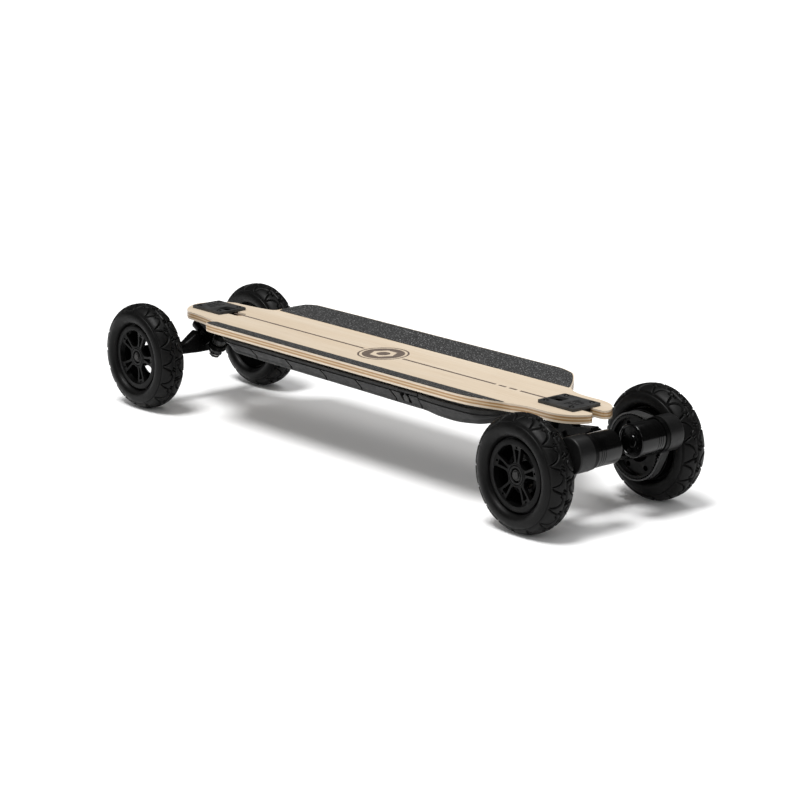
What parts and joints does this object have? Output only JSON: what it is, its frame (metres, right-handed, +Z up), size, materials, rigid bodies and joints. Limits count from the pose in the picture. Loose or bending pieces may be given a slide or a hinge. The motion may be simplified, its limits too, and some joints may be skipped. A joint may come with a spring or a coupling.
{
  "type": "electric skateboard",
  "caption": "Longboard with drop-through double-kingpin trucks, pneumatic tyres, an under-deck battery and belt-driven rear wheels.",
  "frame": {"origin": "on the ground, midway between the two axles", "axes": "+X from the nose to the tail with the motors, +Y to the right, +Z up"},
  "size_m": [1.113, 0.3134, 0.175],
  "materials": {
    "bamboo_deck": "clear satin lacquer",
    "grip_tape": "coarse grit",
    "moulded_plastic": "fine moulded grain",
    "battery_wrap": "shrink wrap",
    "bare_aluminium": "anodised",
    "urethane": "satin",
    "tyre_rubber": "matte",
    "soft_rubber": "matte",
    "gloss_black": "gloss",
    "steel": "plated",
    "hub_black": "glass-filled nylon, satin",
    "truck_black": "satin black anodised"
  },
  "bodies": {
    "board": {"deck": "bamboo_deck", "grip_left": "grip_tape", "grip_right": "grip_tape", "battery_enclosure": "moulded_plastic", "controller_enclosure": "moulded_plastic", "battery_pack": "battery_wrap", "motor_controller": "bare_aluminium", "charge_socket": "moulded_plastic", "front_baseplate": "truck_black", "front_upper_kingpin": "steel", "front_upper_bushing_boardside": "urethane", "front_upper_bushing_roadside": "urethane", "rear_baseplate": "truck_black", "rear_upper_kingpin": "steel", "rear_upper_bushing_boardside": "urethane", "rear_upper_bushing_roadside": "urethane"},
    "power_button": {"power_button": "bare_aluminium"},
    "charge_cap": {"charge_cap": "soft_rubber"},
    "front_link": {"front_link": "truck_black", "front_lower_kingpin": "steel", "front_lower_bushing_boardside": "urethane", "front_lower_bushing_roadside": "urethane"},
    "front_hanger": {"front_hanger": "truck_black", "front_axle": "steel", "front_left_axle_nut": "steel", "front_right_axle_nut": "steel"},
    "rear_link": {"rear_link": "truck_black", "rear_lower_kingpin": "steel", "rear_lower_bushing_boardside": "urethane", "rear_lower_bushing_roadside": "urethane"},
    "rear_hanger": {"rear_hanger": "truck_black", "rear_axle": "steel", "rear_left_axle_nut": "steel", "rear_right_axle_nut": "steel", "left_motor_mount": "truck_black", "left_motor_housing": "gloss_black", "left_belt": "soft_rubber", "left_belt_cover": "moulded_plastic", "right_motor_mount": "truck_black", "right_motor_housing": "gloss_black", "right_belt": "soft_rubber", "right_belt_cover": "moulded_plastic"},
    "front_left_wheel": {"front_left_tyre": "tyre_rubber", "front_left_hub": "hub_black", "front_left_bearing": "steel"},
    "front_right_wheel": {"front_right_tyre": "tyre_rubber", "front_right_hub": "hub_black", "front_right_bearing": "steel"},
    "rear_left_wheel": {"rear_left_tyre": "tyre_rubber", "rear_left_hub": "hub_black", "rear_left_bearing": "steel", "left_wheel_pulley": "truck_black"},
    "rear_right_wheel": {"rear_right_tyre": "tyre_rubber", "rear_right_hub": "hub_black", "rear_right_bearing": "steel", "right_wheel_pulley": "truck_black"},
    "left_rotor": {"left_motor_rotor": "steel", "left_motor_pulley": "steel"},
    "right_rotor": {"right_motor_rotor": "steel", "right_motor_pulley": "steel"}
  },
  "joints": [
    {"name": "front_upper_pivot", "type": "hinge", "parent": "board", "child": "front_link", "pos_m": [-0.3957, 0, 0.126], "axis": [-0.9239, 0, 0.3827], "range_deg": [-12, 12], "stiffness_Nm_per_rad": 60, "deforming": ["front_upper_bushing_boardside", "front_upper_bushing_roadside"]},
    {"name": "front_lower_pivot", "type": "hinge", "parent": "front_link", "child": "front_hanger", "pos_m": [-0.428, 0, 0.0945], "axis": [-0.8829, 0, 0.4695], "range_deg": [-12, 12], "stiffness_Nm_per_rad": 60, "deforming": ["front_lower_bushing_boardside", "front_lower_bushing_roadside"]},
    {"name": "rear_upper_pivot", "type": "hinge", "parent": "board", "child": "rear_link", "pos_m": [0.3957, 0, 0.126], "axis": [0.9239, 0, 0.3827], "range_deg": [-12, 12], "stiffness_Nm_per_rad": 60, "deforming": ["rear_upper_bushing_boardside", "rear_upper_bushing_roadside"]},
    {"name": "rear_lower_pivot", "type": "hinge", "parent": "rear_link", "child": "rear_hanger", "pos_m": [0.428, 0, 0.0945], "axis": [0.8829, 0, 0.4695], "range_deg": [-12, 12], "stiffness_Nm_per_rad": 60, "deforming": ["rear_lower_bushing_boardside", "rear_lower_bushing_roadside"]},
    {"name": "front_left_wheel_spin", "type": "hinge", "parent": "front_hanger", "child": "front_left_wheel", "pos_m": [-0.469, -0.12, 0.0875], "axis": [0, 1, 0], "continuous": true},
    {"name": "front_right_wheel_spin", "type": "hinge", "parent": "front_hanger", "child": "front_right_wheel", "pos_m": [-0.469, 0.12, 0.0875], "axis": [0, 1, 0], "continuous": true},
    {"name": "rear_left_wheel_spin", "type": "hinge", "parent": "rear_hanger", "child": "rear_left_wheel", "pos_m": [0.469, -0.131, 0.0875], "axis": [0, 1, 0], "continuous": true},
    {"name": "rear_right_wheel_spin", "type": "hinge", "parent": "rear_hanger", "child": "rear_right_wheel", "pos_m": [0.469, 0.131, 0.0875], "axis": [0, 1, 0], "continuous": true},
    {"name": "left_rotor_spin", "type": "hinge", "parent": "rear_hanger", "child": "left_rotor", "pos_m": [0.52876, -0.06, 0.11995], "axis": [0, 1, 0], "continuous": true},
    {"name": "right_rotor_spin", "type": "hinge", "parent": "rear_hanger", "child": "right_rotor", "pos_m": [0.52876, 0.06, 0.11995], "axis": [0, 1, 0], "continuous": true},
    {"name": "power_button_press", "type": "slide", "parent": "board", "child": "power_button", "axis": [0, -0.9342, 0.3567], "range_m": [0, 0.0014], "stiffness_N_per_m": 400, "springref_m": -0.0008},
    {"name": "charge_cap_hinge", "type": "hinge", "parent": "board", "child": "charge_cap", "pos_m": [0.153, -0.08229, 0.13546], "axis": [-1, 0, 0], "range_deg": [0, 100]}
  ],
  "couplings": [
    {"joint": "left_rotor_spin", "follows": "rear_left_wheel_spin", "ratio": 4.1333},
    {"joint": "right_rotor_spin", "follows": "rear_right_wheel_spin", "ratio": 4.1333}
  ]
}
